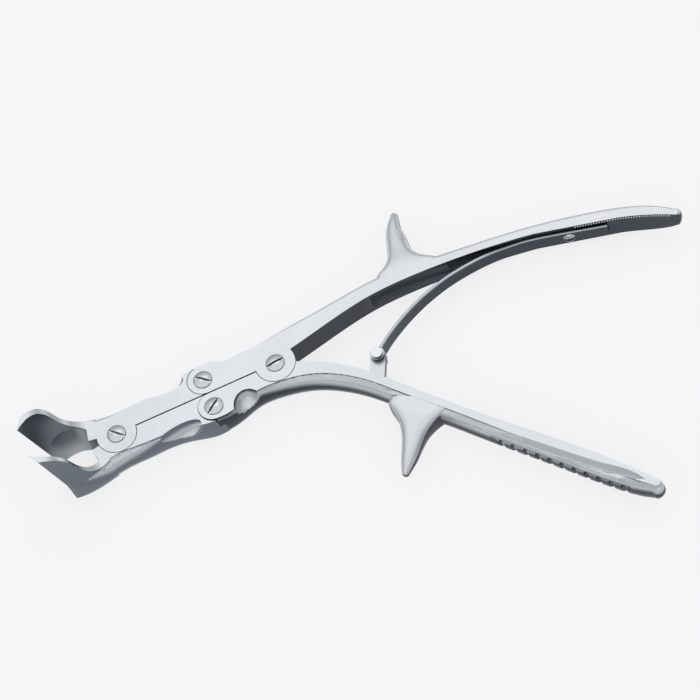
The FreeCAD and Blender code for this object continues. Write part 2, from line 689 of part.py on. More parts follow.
def cut_lug_slot(handle):
    """The slot in the lower handle's inner side that the lug's foot is set into."""
    level = (HEIGHT - size("lug_thickness")) / 2
    half = size("lug_half_width")
    run = (KNUCKLE[0] - LUG_FOOT[0], KNUCKLE[1] - LUG_FOOT[1])
    length = math.hypot(*run)
    up = (run[0] / length, run[1] / length)
    across = (up[1], -up[0])
    place = lambda along, aside: (LUG_FOOT[0] + up[0] * along + across[0] * aside,
                                  LUG_FOOT[1] + up[1] * along + across[1] * aside)
    sketch = new_sketch(handle, "lug_slot_outline", level)
    corners = (place(0, -half), place(0, half), place(length, half), place(length, -half))
    for start, end in zip(corners, corners[1:] + corners[:1]):
        line(sketch, start, end)
    pocket(handle, sketch, "lug_slot", "sheet.lug_thickness")


def check_and_export(bodies):
    """Stop on any failed object or bad solid, then write each piece to its own file."""
    doc.recompute()
    for item in doc.Objects:
        if "Invalid" in item.State or "Error" in item.State:
            raise RuntimeError(f"{item.Name} failed: {item.State}")
    os.makedirs("parts", exist_ok=True)
    for body in bodies:
        shape = body.Shape
        if shape.isNull() or not shape.isValid() or len(shape.Solids) != 1:
            raise RuntimeError(f"{body.Label} is not one valid solid")
        shape.exportStep(f"parts/{body.Label}.step")
        print(body.Label, round(shape.Volume), "cubic mm")


upper_jaw = make_jaw("upper_jaw", 1)
lower_jaw = make_jaw("lower_jaw", -1)
upper_handle = make_upper_handle()
screw_hole(upper_handle)
lower_handle = make_lower_handle()
cut_lug_slot(lower_handle)
jaw_screw = make_screw("jaw_screw", JAW_PIVOT, -44)
upper_link_screw = make_screw("upper_link_screw", UPPER_LINK, -40)
lower_link_screw = make_screw("lower_link_screw", LOWER_LINK, 36)
handle_screw = make_screw("handle_screw", HANDLE_PIVOT, 6)
leaf_spring = make_leaf_spring()
spring_screw = make_spring_screw()
spring_lug = make_spring_lug()
lug_pin = make_lug_pin()

check_and_export((upper_jaw, lower_jaw, upper_handle, lower_handle, jaw_screw, upper_link_screw,
                  lower_link_screw, handle_screw, leaf_spring, spring_screw, spring_lug, lug_pin))
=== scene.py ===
import math

import bmesh
import bpy
from mathutils import Matrix, Vector


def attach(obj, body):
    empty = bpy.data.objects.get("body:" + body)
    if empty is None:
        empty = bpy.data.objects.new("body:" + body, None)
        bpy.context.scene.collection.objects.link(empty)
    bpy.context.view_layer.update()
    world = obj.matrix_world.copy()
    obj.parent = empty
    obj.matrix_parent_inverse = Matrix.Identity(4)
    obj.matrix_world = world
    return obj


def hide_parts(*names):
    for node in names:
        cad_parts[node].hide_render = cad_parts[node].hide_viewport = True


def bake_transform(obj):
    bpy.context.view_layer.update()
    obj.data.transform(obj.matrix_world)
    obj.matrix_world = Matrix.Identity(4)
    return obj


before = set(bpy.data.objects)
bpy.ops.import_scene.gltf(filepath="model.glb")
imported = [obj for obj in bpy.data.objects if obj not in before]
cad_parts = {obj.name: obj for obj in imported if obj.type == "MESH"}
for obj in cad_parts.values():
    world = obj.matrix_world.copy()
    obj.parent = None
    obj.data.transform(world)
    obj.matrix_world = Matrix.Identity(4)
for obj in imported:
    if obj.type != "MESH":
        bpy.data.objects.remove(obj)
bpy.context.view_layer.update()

bl_info = {
    "name": "Bone cutting forceps",
    "version": (1, 0, 0),
    "blender": (4, 5, 0),
    "location": "3D View > Sidebar > Forceps",
    "description": "Steel finishes, a bent leaf spring and a studio stage for double-action bone cutters",
    "category": "Object",
}

MM = 0.001

# Plan of the leaf spring in millimetres, from the ring round the pin to the seat on the upper handle.
LEAF_LINE = ((41.0, -12.8), (47.2, -8.0), (54.3, -3.6), (61.2, -0.1), (68.9, 3.0), (80.0, 6.0), (94.0, 7.6),
             (106.0, 7.2), (119.0, 5.1))
LEAF_TAIL_END = (147.0, -2.85)
KNUCKLE = (39.6, -14.0)
JOINT_HEIGHT = 12.4

# The line of each grip's notches in plan, from the tip towards the joint.
UPPER_GRIP = ((174.4, -9.2), (168.4, -4.0), (157.6, 1.8), (139.2, 7.6), (118.4, 12.2), (98.0, 15.2))
LOWER_GRIP = ((117.2, -124.0), (108.5, -116.2), (87.7, -93.0), (67.4, -70.0), (54.5, -55.0))

# The cove between the lower grip's top face and its bead, from the spur to the tip, and its rise.
LOWER_COVE = ((53.8, -56.2, 2.0), (58.2, -59.8, 0.6), (61.8, -63.2, 0.0), (68.7, -70.3, -0.3),
              (75.4, -77.5, -0.3), (83.4, -86.1, -0.3), (91.5, -94.7, -0.3), (99.6, -103.1, -0.3),
              (106.0, -109.4, -0.1), (111.5, -114.6, 0.6), (116.0, -118.8, 2.2))

# Row of fine teeth on the upper grip's inner edge.
TEETH_ROW = ((134.7, 1.3), (143.4, -1.1), (151.9, -3.4), (157.9, -5.7), (163.9, -8.2), (171.4, -12.1))

# Each grip's rounded end in plan: where the underside begins to rise, and the tip.
GRIP_ENDS = {"upper_handle": ((162.0, -4.0), (176.4, -14.6)),
             "lower_handle": ((110.0, -116.0), (121.4, -127.2))}

# Cove section: width across, depth, corner radius, and how far its middle lies below the top face.
COVE_WIDTH = 4.2
COVE_DEPTH = 4.4
COVE_RADIUS = 2.05
COVE_DROP = 0.1

# Fine teeth: their spacing, their radius and how far they lie below the top face.
TEETH_STEP = 1.1
TEETH_RADIUS = 0.45
TEETH_DROP = 0.7

# The leaf's ring round the pin: its two radii and the heights of its two cheeks.
RING_INNER = 1.44
RING_OUTER = 3.0
RING_CHEEKS = ((2.4, 4.2), (8.2, 10.0))

# Height share that is left at a grip's very tip, and the forward steps and widths of a spur's round tip.
TIP_SHARE = 0.3
SPUR_TIP_STEPS = ((0.5, 0.94), (0.95, 0.76), (1.25, 0.46))

# Slivers shorter than the first length are drawn together within the second.
SLIVER_LENGTH = 0.02
SLIVER_REACH = 0.05
SAME_PLACE = 0.0001

# An edge sharper than this angle stays sharp, and a face this level is shaded flat.
SHARP_ANGLE = 24.0
LEVEL_FACE = 0.9995

# Finger spurs, section by section from root to tip: middle in plan, half width, half height and
# squareness, where 2 is round.
UPPER_SPUR = ((65.6, 14.0, 15.5, 6.12, 9.0), (65.5, 17.5, 13.2, 6.1, 8.0), (65.2, 19.6, 10.4, 6.0, 6.0),
              (65.0, 22.0, 7.7, 5.8, 4.6), (65.0, 25.0, 5.9, 5.4, 3.6), (65.2, 28.0, 5.0, 5.0, 3.0),
              (65.8, 33.7, 4.0, 4.3, 2.5), (66.5, 38.0, 3.4, 3.7, 2.3), (67.9, 42.0, 2.6, 3.0, 2.1),
              (69.3, 45.0, 1.7, 2.1, 2.0))
LOWER_SPUR = ((47.6, -42.2, 11.5, 6.12, 9.0), (46.0, -45.0, 12.6, 6.1, 8.0), (44.6, -47.2, 10.6, 6.0, 6.0),
              (43.2, -49.5, 8.4, 5.8, 4.6), (41.4, -52.4, 6.4, 5.4, 3.6), (39.4, -55.4, 5.1, 5.0, 3.0),
              (36.6, -59.7, 4.1, 4.3, 2.5), (34.2, -63.3, 3.4, 3.7, 2.3), (32.0, -66.4, 2.5, 2.9, 2.1),
              (30.4, -68.8, 1.6, 2.0, 2.0))

# Each lever's node, its body, and its notched grip and its spur, if any.
LEVERS = (("upper_jaw", "upper_jaw", None, None), ("lower_jaw", "lower_jaw", None, None),
          ("upper_handle", "upper_handle", UPPER_GRIP, UPPER_SPUR),
          ("lower_handle", "lower_handle", LOWER_GRIP, LOWER_SPUR))
SATIN_PIECES = ("spring_lug",)
SCREWS = ("jaw_screw", "upper_link_screw", "lower_link_screw", "handle_screw", "spring_screw", "lug_pin")


def finish_settings():
    return bpy.context.scene.forceps_finish


def stage_settings():
    return bpy.context.scene.forceps_stage


def spring_settings():
    return bpy.context.scene.forceps_spring


class ForcepsFinish(bpy.types.PropertyGroup):
    """Colours and roughness of the steel."""
    satin_colour: bpy.props.FloatVectorProperty(
        name="Satin steel", description="Colour of the ground and satin faces", subtype="COLOR",
        size=3, min=0, max=1, default=(0.74, 0.76, 0.78))
    # Painted shade: this dark colour on the upright sides of the handles, screws and spring stands in for
    # the dark surroundings that they reflect.
    flank_painted_shade: bpy.props.FloatVectorProperty(
        name="Flank painted shade", description="Painted shade colour of the handles' polished sides", subtype="COLOR",
        size=3, min=0, max=1, default=(0.04, 0.048, 0.06))
    # Painted shade: this dark colour on the jaws' upright sides stands in for the dark surroundings that
    # they reflect.
    jaw_flank_painted_shade: bpy.props.FloatVectorProperty(
        name="Jaw flank painted shade", description="Painted shade colour of the jaws' polished sides", subtype="COLOR",
        size=3, min=0, max=1, default=(0.14, 0.16, 0.185))
    screw_colour: bpy.props.FloatVectorProperty(
        name="Screw steel", description="Colour of the screws and the pin", subtype="COLOR",
        size=3, min=0, max=1, default=(0.7, 0.72, 0.75))
    spring_colour: bpy.props.FloatVectorProperty(
        name="Spring steel", description="Colour of the leaf spring", subtype="COLOR",
        size=3, min=0, max=1, default=(0.55, 0.58, 0.62))
    satin_roughness: bpy.props.FloatProperty(
        name="Satin roughness", description="Roughness of the satin faces", default=0.34, min=0, max=1)
    polish_roughness: bpy.props.FloatProperty(
        name="Polish roughness", description="Roughness of the polished sides", default=0.26, min=0, max=1)
    notch_start: bpy.props.FloatProperty(
        name="Notch start", description="Distance of the first notch from the grip's tip", unit="LENGTH",
        default=12.3 * MM)
    notch_run: bpy.props.FloatProperty(
        name="Notch run", description="Distance from the first notch to the last", unit="LENGTH",
        default=56.5 * MM)
    notch_count: bpy.props.IntProperty(
        name="Notches", description="Number of notches on each grip", default=12, min=2)
    notch_radius: bpy.props.FloatProperty(
        name="Notch radius", description="Radius of one notch", unit="LENGTH", default=1.45 * MM)
    notch_height: bpy.props.FloatProperty(
        name="Notch height", description="Height at which a notch's round top begins", unit="LENGTH",
        default=7.4 * MM)


class ForcepsSpring(bpy.types.PropertyGroup):
    """Sizes of the leaf spring."""
    width: bpy.props.FloatProperty(
        name="Leaf width", description="Height of the leaf across the handle", unit="LENGTH",
        default=7.6 * MM, min=MM, max=20 * MM)
    thickness: bpy.props.FloatProperty(
        name="Leaf thickness", description="Thickness of the leaf", unit="LENGTH",
        default=1.3 * MM, min=0.3 * MM, max=4 * MM)
    edge_radius: bpy.props.FloatProperty(
        name="Edge radius", description="Rounding of the leaf's long edges", unit="LENGTH",
        default=0.35 * MM, min=0, max=2 * MM)


class ForcepsStage(bpy.types.PropertyGroup):
    """Floor, light and camera."""
    floor_colour: bpy.props.FloatVectorProperty(
        name="Floor", description="Colour of the pale floor", subtype="COLOR", size=3, min=0, max=1,
        default=(0.9, 0.9, 0.905))
    key_power: bpy.props.FloatProperty(
        name="Key light", description="Power of the large soft light", subtype="POWER", default=1.3, min=0)
    fill_power: bpy.props.FloatProperty(
        name="Fill light", description="Power of the light from the front", subtype="POWER", default=0.3,
        min=0)
    tilt: bpy.props.FloatProperty(
        name="Camera tilt", description="Angle of the view away from straight down", subtype="ANGLE",
        default=math.radians(31.0))
    roll: bpy.props.FloatProperty(
        name="Camera roll", description="Turn of the view about its own axis", subtype="ANGLE",
        default=math.radians(24.06))
    view_width: bpy.props.FloatProperty(
        name="View width", description="Width that the camera sees", unit="LENGTH", default=285.7 * MM)


# Shader groups.

def new_group(name, inputs, outputs):
    """An empty shader group with its named sockets, its ends and its link list."""
    group = bpy.data.node_groups.new(name, "ShaderNodeTree")
    for socket_name, kind, default in inputs:
        socket = group.interface.new_socket(socket_name, in_out="INPUT", socket_type=kind)
        if default is not None:
            socket.default_value = default
    for socket_name, kind in outputs:
        group.interface.new_socket(socket_name, in_out="OUTPUT", socket_type=kind)
    start = group.nodes.new("NodeGroupInput")
    end = group.nodes.new("NodeGroupOutput")
    return group, start, end


def add_node(tree, kind, links=None, **values):
    """A node with its properties set, and its sockets set or linked by name or number."""
    node = tree.nodes.new(kind)
    for name, value in values.items():
        setattr(node, name, value)
    for socket, source in (links or {}).items():
        if isinstance(source, bpy.types.NodeSocket):
            tree.links.new(source, node.inputs[socket])
        else:
            node.inputs[socket].default_value = source
    return node


def make_grind_group():
    """Fine grinding lines along the instrument."""
    inputs = (("Vector", "NodeSocketVector", None), ("Stretch", "NodeSocketFloat", 14.0),
              ("Fineness", "NodeSocketFloat", 9000.0))
    outputs = (("Height", "NodeSocketFloat"), ("Shade", "NodeSocketFloat"))
    group, start, end = new_group("grinding lines", inputs, outputs)
    shrink = add_node(group, "ShaderNodeMath", {0: 1.0, 1: start.outputs["Stretch"]}, operation="DIVIDE")
    scale = add_node(group, "ShaderNodeCombineXYZ", {0: shrink.outputs[0], 1: 1.0, 2: 1.0})
    stretched = add_node(group, "ShaderNodeVectorMath", {0: start.outputs["Vector"], 1: scale.outputs[0]},
                         operation="MULTIPLY")
    lines = add_node(group, "ShaderNodeTexNoise",
                     {"Vector": stretched.outputs[0], "Scale": start.outputs["Fineness"],
                      "Detail": 2.0, "Roughness": 0.6})
    shade = add_node(group, "ShaderNodeMapRange",
                     {"Value": lines.outputs[0], "From Min": 0.3, "From Max": 0.7,
                      "To Min": 0.97, "To Max": 1.03})
    group.links.new(lines.outputs[0], end.inputs["Height"])
    group.links.new(shade.outputs[0], end.inputs["Shade"])
    return group


def make_handling_group():
    """Soft smudges and a few hair scratches from use and cleaning."""
    inputs = (("Vector", "NodeSocketVector", None), ("Smudge scale", "NodeSocketFloat", 38.0),
              ("Scratch scale", "NodeSocketFloat", 210.0))
    outputs = (("Smudge", "NodeSocketFloat"), ("Scratch", "NodeSocketFloat"))
    group, start, end = new_group("handling wear", inputs, outputs)
    smudge = add_node(group, "ShaderNodeTexNoise",
                      {"Vector": start.outputs["Vector"], "Scale": start.outputs["Smudge scale"],
                       "Detail": 4.0, "Roughness": 0.55})
    soft = add_node(group, "ShaderNodeMapRange",
                    {"Value": smudge.outputs[0], "From Min": 0.35, "From Max": 0.7})
    bend = add_node(group, "ShaderNodeTexNoise",
                    {"Vector": start.outputs["Vector"], "Scale": 60.0, "Detail": 1.0})
    wander = add_node(group, "ShaderNodeVectorMath", {0: bend.outputs["Color"], 1: (0.02, 0.02, 0.0)},
                      operation="MULTIPLY")
    shifted = add_node(group, "ShaderNodeVectorMath", {0: start.outputs["Vector"], 1: wander.outputs[0]},
                       operation="ADD")
    cells = add_node(group, "ShaderNodeTexVoronoi",
                     {"Vector": shifted.outputs[0], "Scale": start.outputs["Scratch scale"]},
                     feature="DISTANCE_TO_EDGE")
    hair = add_node(group, "ShaderNodeMapRange",
                    {"Value": cells.outputs["Distance"], "From Min": 0.0, "From Max": 0.012,
                     "To Min": 1.0, "To Max": 0.0})
    rare = add_node(group, "ShaderNodeTexNoise",
                    {"Vector": start.outputs["Vector"], "Scale": 90.0, "Detail": 0.0})
    gate = add_node(group, "ShaderNodeMapRange",
                    {"Value": rare.outputs[0], "From Min": 0.58, "From Max": 0.66})
    scratch = add_node(group, "ShaderNodeMath", {0: hair.outputs[0], 1: gate.outputs[0]},
                       operation="MULTIPLY")
    group.links.new(soft.outputs[0], end.inputs["Smudge"])
    group.links.new(scratch.outputs[0], end.inputs["Scratch"])
    return group


def make_side_shade_and_polish_group():
    """A mask for painted shade and polish: one on upright faces and nought on level ones."""
    inputs = (("Level from", "NodeSocketFloat", 0.12), ("Level to", "NodeSocketFloat", 0.62))
    group, start, end = new_group("painted shade and polish on upright sides", inputs, (("Mask", "NodeSocketFloat"),))
    geometry = group.nodes.new("ShaderNodeNewGeometry")
    parts = add_node(group, "ShaderNodeSeparateXYZ", {0: geometry.outputs["Normal"]})
    level = add_node(group, "ShaderNodeMath", {0: parts.outputs["Z"]}, operation="ABSOLUTE")
    mask = add_node(group, "ShaderNodeMapRange",
                    {"Value": level.outputs[0], "From Min": start.outputs["Level from"],
                     "From Max": start.outputs["Level to"], "To Min": 1.0, "To Max": 0.0},
                    interpolation_type="SMOOTHSTEP")
    group.links.new(mask.outputs[0], end.inputs["Mask"])
    return group


def shared_groups():
    """The three shared effects, made once."""
    makers = {"grinding lines": make_grind_group, "handling wear": make_handling_group,
              "painted shade and polish on upright sides": make_side_shade_and_polish_group}
    for name, maker in makers.items():
        if name not in bpy.data.node_groups:
            maker()
    return {name: bpy.data.node_groups[name] for name in makers}


def steel(name, face_colour, side_painted_shade, face_roughness, side_roughness, grain=0.5, stretch=14.0):
    """Steel with its own face and side finish, painted shade darkening the upright sides, grinding lines,
    smudges and hair scratches.
    """
    groups = shared_groups()
    material = bpy.data.materials.new(name)
    material.use_nodes = True
    material.diffuse_color = (*face_colour, 1.0)
    tree = material.node_tree
    shader = tree.nodes["Principled BSDF"]
    shader.inputs["Metallic"].default_value = 1.0
    place = tree.nodes.new("ShaderNodeTexCoord").outputs["Object"]
    lines = add_node(tree, "ShaderNodeGroup", node_tree=groups["grinding lines"])
    lines.inputs["Stretch"].default_value = stretch
    tree.links.new(place, lines.inputs["Vector"])
    wear = add_node(tree, "ShaderNodeGroup", node_tree=groups["handling wear"])
    tree.links.new(place, wear.inputs["Vector"])
    # The upright-sides mask mixes in the dark side colour, which is painted shade, and the side roughness,
    # which is real polish.
    sides = add_node(tree, "ShaderNodeGroup", node_tree=groups["painted shade and polish on upright sides"])
    colour = add_node(tree, "ShaderNodeMix",
                      {0: sides.outputs["Mask"], 6: (*face_colour, 1.0), 7: (*side_painted_shade, 1.0)},
                      data_type="RGBA")
    shaded = add_node(tree, "ShaderNodeVectorMath", {0: colour.outputs[2], "Scale": lines.outputs["Shade"]},
                      operation="SCALE")
    tree.links.new(shaded.outputs[0], shader.inputs["Base Color"])
    rough = add_node(tree, "ShaderNodeMix",
                     {0: sides.outputs["Mask"], 2: face_roughness, 3: side_roughness}, data_type="FLOAT")
    smudged = add_node(tree, "ShaderNodeMath",
                       {0: wear.outputs["Smudge"], 1: 0.07, 2: rough.outputs[0]},
                       operation="MULTIPLY_ADD")
    scratched = add_node(tree, "ShaderNodeMath",
                         {0: wear.outputs["Scratch"], 1: 0.12, 2: smudged.outputs[0]},
                         operation="MULTIPLY_ADD", use_clamp=True)
    tree.links.new(scratched.outputs[0], shader.inputs["Roughness"])
    bump = add_node(tree, "ShaderNodeBump",
                    {"Strength": grain, "Distance": 0.00002, "Height": lines.outputs["Height"]})
    tree.links.new(bump.outputs[0], shader.inputs["Normal"])
    return material


def dress(node_name, material):
    """Give a carried-over node its material in every slot."""
    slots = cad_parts[node_name].material_slots
    if not slots:
        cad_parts[node_name].data.materials.append(material)
    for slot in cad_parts[node_name].material_slots:
        slot.material = material


class FORCEPS_OT_screws(bpy.types.Operator):
    """Finish the pivot screws, the spring's screw and the pin in polished steel"""
    bl_idname = "forceps.screws"
    bl_label = "Screws and pin"

    def execute(self, context):
        finish = finish_settings()
        # The screws' upright sides get the dark side colour as painted shade.
        material = steel("polished screw steel", finish.screw_colour, finish.flank_painted_shade,
                         0.1, 0.14, grain=0.15, stretch=1.0)
        for name in SCREWS:
            dress(name, material)
        return {"FINISHED"}


# Geometry node trees.

def new_geometry_tree(name, inputs):
    """An empty geometry tree with a geometry input and output and named inputs."""
    tree = bpy.data.node_groups.new(name, "GeometryNodeTree")
    tree.interface.new_socket("Geometry", in_out="INPUT", socket_type="NodeSocketGeometry")
    for socket_name, kind, default in inputs:
        socket = tree.interface.new_socket(socket_name, in_out="INPUT", socket_type=kind)
        if default is not None:
            socket.default_value = default
    tree.interface.new_socket("Geometry", in_out="OUTPUT", socket_type="NodeSocketGeometry")
    return tree, tree.nodes.new("NodeGroupInput"), tree.nodes.new("NodeGroupOutput")


def close_tree(tree, start, end, geometry):
    """End the tree with real geometry in the chosen material."""
    real = add_node(tree, "GeometryNodeRealizeInstances", {0: geometry})
    painted = add_node(tree, "GeometryNodeSetMaterial",
                       {"Geometry": real.outputs[0], "Material": start.outputs["Material"]})
    tree.links.new(painted.outputs[0], end.inputs[0])


def make_strip_tree():
    """A flat strip with rounded edges that follows a curve and stands upright."""
    inputs = (("Width", "NodeSocketFloat", 0.0076), ("Thickness", "NodeSocketFloat", 0.0013),
              ("Edge radius", "NodeSocketFloat", 0.0003), ("Material", "NodeSocketMaterial", None))
    tree, start, end = new_geometry_tree("strip along a line", inputs)
    upright = add_node(tree, "GeometryNodeSetCurveNormal", {0: start.outputs["Geometry"]}, mode="Z_UP")
    section = add_node(tree, "GeometryNodeCurvePrimitiveQuadrilateral",
                       {0: start.outputs["Thickness"], 1: start.outputs["Width"]})
    rounded = add_node(tree, "GeometryNodeFilletCurve",
                       {"Curve": section.outputs[0], "Radius": start.outputs["Edge radius"]})
    strip = add_node(tree, "GeometryNodeCurveToMesh",
                     {"Curve": upright.outputs[0], "Profile Curve": rounded.outputs[0], "Fill Caps": True})
    close_tree(tree, start, end, strip.outputs[0])
    return tree


def set_inputs(modifier, values):
    """Set a geometry modifier's named inputs through their identifiers."""
    identifiers = {item.name: item.identifier for item in modifier.node_group.interface.items_tree
                   if item.in_out == "INPUT"}
    for name, value in values.items():
        modifier[identifiers[name]] = value


def grown_mesh(name, source, tree, values):
    """Run a geometry tree on a source object and keep the result as a plain mesh piece."""
    modifier = source.modifiers.new("grow", "NODES")
    modifier.node_group = tree
    set_inputs(modifier, values)
    bpy.context.view_layer.update()
    evaluated = source.evaluated_get(bpy.context.evaluated_depsgraph_get())
    mesh = bpy.data.meshes.new_from_object(evaluated)
    mesh.name = name
    bpy.data.objects.remove(source)
    piece = bpy.data.objects.new(name, mesh)
    bpy.context.scene.collection.objects.link(piece)
    return piece


def line_object(name, places, height, smooth=True):
    """A curve through places in plan, in millimetres, at one height or with each place's own rise."""
    data = bpy.data.curves.new(name, "CURVE")
    data.dimensions = "3D"
    spline = data.splines.new("POLY")
    path = rounded_path(places) if smooth else [Vector(place) for place in places]
    spline.points.add(len(path) - 1)
    for target, place in zip(spline.points, path):
        rise = place[2] if len(place) > 2 else 0.0
        target.co = (place[0] * MM, place[1] * MM, (height + rise) * MM, 1.0)
    item = bpy.data.objects.new(name, data)
    bpy.context.scene.collection.objects.link(item)
    return item


def rounded_path(places, steps=10):
    """A smooth line through the places."""
    points = [Vector(place) for place in places]
    ends = [2 * points[0] - points[1]] + points + [2 * points[-1] - points[-2]]
    path = []
    for before, start, stop, after in zip(ends, ends[1:], ends[2:], ends[3:]):
        for step in range(steps):
            t = step / steps
            path.append(0.5 * (2 * start + (stop - before) * t
                               + (2 * before - 5 * start + 4 * stop - after) * t * t
                               + (3 * start - before - 3 * stop + after) * t * t * t))
    path.append(points[-1])
    return path


def make_notch_tree():
    """Round-topped cutters that stand in a row along a line."""
    inputs = (("Step", "NodeSocketFloat", 0.00514), ("Radius", "NodeSocketFloat", 0.00115),
              ("Height", "NodeSocketFloat", 0.0042), ("Material", "NodeSocketMaterial", None))
    tree, start, end = new_geometry_tree("row of notch cutters", inputs)
    row = add_node(tree, "GeometryNodeCurveToPoints",
                   {"Curve": start.outputs["Geometry"], "Length": start.outputs["Step"]}, mode="LENGTH")
    ball = add_node(tree, "GeometryNodeMeshUVSphere",
                    {"Segments": 16, "Rings": 9, "Radius": start.outputs["Radius"]})
    height = add_node(tree, "ShaderNodeCombineXYZ", {2: start.outputs["Height"]})
    place = add_node(tree, "GeometryNodeInputPosition")
    parts = add_node(tree, "ShaderNodeSeparateXYZ", {0: place.outputs[0]})
    below = add_node(tree, "FunctionNodeCompare", {0: parts.outputs["Z"], 1: -0.00001},
                     data_type="FLOAT", operation="LESS_THAN")
    drop = add_node(tree, "ShaderNodeMath", {0: start.outputs["Height"], 1: -1.4}, operation="MULTIPLY")
    down = add_node(tree, "ShaderNodeCombineXYZ", {2: drop.outputs[0]})
    long = add_node(tree, "GeometryNodeSetPosition",
                    {"Geometry": ball.outputs[0], "Selection": below.outputs[0], "Offset": down.outputs[0]})
    raised = add_node(tree, "GeometryNodeTransform",
                      {"Geometry": long.outputs[0], "Translation": height.outputs[0]})
    cutters = add_node(tree, "GeometryNodeInstanceOnPoints",
                       {"Points": row.outputs[0], "Instance": raised.outputs[0]})
    close_tree(tree, start, end, cutters.outputs[0])
    return tree


def stretch_of(places, start, length):
    """The part of a line in plan that begins at a distance from its first place."""
    path = rounded_path(places, 20)
    travelled, part = 0.0, []
    for before, after in zip(path, path[1:]):
        travelled += (after - before).length
        if start <= travelled <= start + length:
            part.append(after)
    return part


def lever_copy(name, node):
    """A closed copy of a carried-over node's mesh, with its crowded slivers drawn together."""
    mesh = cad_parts[node].data.copy()
    shape = bmesh.new()
    shape.from_mesh(mesh)
    bmesh.ops.remove_doubles(shape, verts=shape.verts, dist=SAME_PLACE * MM)
    short_edges = [edge for edge in shape.edges if edge.calc_length() < SLIVER_LENGTH * MM]
    crowded = {vertex for edge in short_edges for vertex in edge.verts}
    bmesh.ops.remove_doubles(shape, verts=list(crowded), dist=SLIVER_REACH * MM)
    shape.to_mesh(mesh)
    shape.free()
    piece = bpy.data.objects.new(name, mesh)
    bpy.context.scene.collection.objects.link(piece)
    return piece


def applied(piece):
    """Turn a piece and its modifiers into a plain mesh."""
    bpy.context.view_layer.update()
    mesh = bpy.data.meshes.new_from_object(piece.evaluated_get(bpy.context.evaluated_depsgraph_get()))
    piece.modifiers.clear()
    piece.data = mesh
    return piece


def round_end(piece, back, tip):
    """Let the grip's underside rise to its tip in a round nose."""
    back, run = Vector(back), Vector(tip) - Vector(back)
    for vertex in piece.data.vertices:
        share = (Vector(vertex.co[:2]) / MM - back).dot(run) / run.length_squared
        if share > 0:
            height = TIP_SHARE + (1 - TIP_SHARE) * math.sqrt(1 - min(share, 1.0) ** 2)
            vertex.co.z = (JOINT_HEIGHT - (JOINT_HEIGHT - vertex.co.z / MM) * height) * MM


def cut_cove(piece, places):
    """Cut a hollow groove along a line in the top of a handle."""
    line = line_object("cove_line", places, JOINT_HEIGHT - COVE_DROP)
    cutter = grown_mesh("cove_cutter", line, make_strip_tree(),
                        {"Width": COVE_DEPTH * MM, "Thickness": COVE_WIDTH * MM,
                         "Edge radius": COVE_RADIUS * MM})
    cut = piece.modifiers.new("cove", "BOOLEAN")
    cut.operation = "DIFFERENCE"
    cut.solver = "EXACT"
    cut.object = cutter
    applied(piece)
    bpy.data.objects.remove(cutter)


def make_teeth_tree():
    """Small round teeth in a row along a line."""
    inputs = (("Step", "NodeSocketFloat", 0.0011), ("Radius", "NodeSocketFloat", 0.00045),
              ("Material", "NodeSocketMaterial", None))
    tree, start, end = new_geometry_tree("row of teeth", inputs)
    row = add_node(tree, "GeometryNodeCurveToPoints",
                   {"Curve": start.outputs["Geometry"], "Length": start.outputs["Step"]}, mode="LENGTH")
    tooth = add_node(tree, "GeometryNodeMeshIcoSphere",
                     {"Radius": start.outputs["Radius"], "Subdivisions": 2})
    teeth = add_node(tree, "GeometryNodeInstanceOnPoints",
                     {"Points": row.outputs[0], "Instance": tooth.outputs[0]})
    close_tree(tree, start, end, teeth.outputs[0])
    return tree


def cut_notches(piece, grip, finish):
    """Cut the row of notches into the grip's outer side."""
    line = line_object("notch_row", stretch_of(grip, finish.notch_start / MM, finish.notch_run / MM), 0.0,
                       smooth=False)
    cutters = grown_mesh("notch_cutters", line, make_notch_tree(),
                         {"Step": finish.notch_run / (finish.notch_count - 1), "Radius": finish.notch_radius,
                          "Height": finish.notch_height})
    cut = piece.modifiers.new("notches", "BOOLEAN")
    cut.operation = "DIFFERENCE"
    cut.solver = "EXACT"
    cut.object = cutters
    applied(piece)
    bpy.data.objects.remove(cutters)


def spur_section(shape, place, across, half_width, half_height, squareness, count=32):
    """A ring of vertices: a box whose corners are as round as its squareness says."""
    ring = []
    for number in range(count):
        angle = 2 * math.pi * number / count
        cos, sin = math.cos(angle), math.sin(angle)
        aside = math.copysign(abs(cos) ** (2 / squareness), cos) * half_width
        rise = math.copysign(abs(sin) ** (2 / squareness), sin) * half_height
        ring.append(shape.verts.new((place + across * aside + Vector((0, 0, rise))) * MM))
    return ring


def spur_object(sections, steps=5):
    """A tapering horn through its sections, with a round tip."""
    rows = rounded_path(sections, steps)
    axis = (Vector(sections[-1][:2]) - Vector(sections[0][:2])).normalized()
    across = Vector((-axis[1], axis[0], 0.0))
    tip = rows[-1]
    for forward, share in SPUR_TIP_STEPS:
        rows.append(Vector((tip[0] + axis[0] * forward, tip[1] + axis[1] * forward,
                            tip[2] * share, tip[3] * share, 2.0)))
    shape = bmesh.new()
    rings = [spur_section(shape, Vector((row[0], row[1], JOINT_HEIGHT / 2)), across, *row[2:])
             for row in rows]
    for low, high in zip(rings, rings[1:]):
        for number in range(len(low)):
            after = (number + 1) % len(low)
            shape.faces.new((low[number], low[after], high[after], high[number]))
    shape.faces.new(rings[0])
    shape.faces.new(rings[-1])
    bmesh.ops.recalc_face_normals(shape, faces=shape.faces)
    mesh = bpy.data.meshes.new("spur")
    shape.to_mesh(mesh)
    shape.free()
    spur = bpy.data.objects.new("spur", mesh)
    bpy.context.scene.collection.objects.link(spur)
    return spur


def add_spur(piece, sections):
    """Join the finger spur to the handle."""
    spur = spur_object(sections)
    join = piece.modifiers.new("spur", "BOOLEAN")
    join.operation = "UNION"
    join.solver = "EXACT"
    join.object = spur
    applied(piece)
    bpy.data.objects.remove(spur)


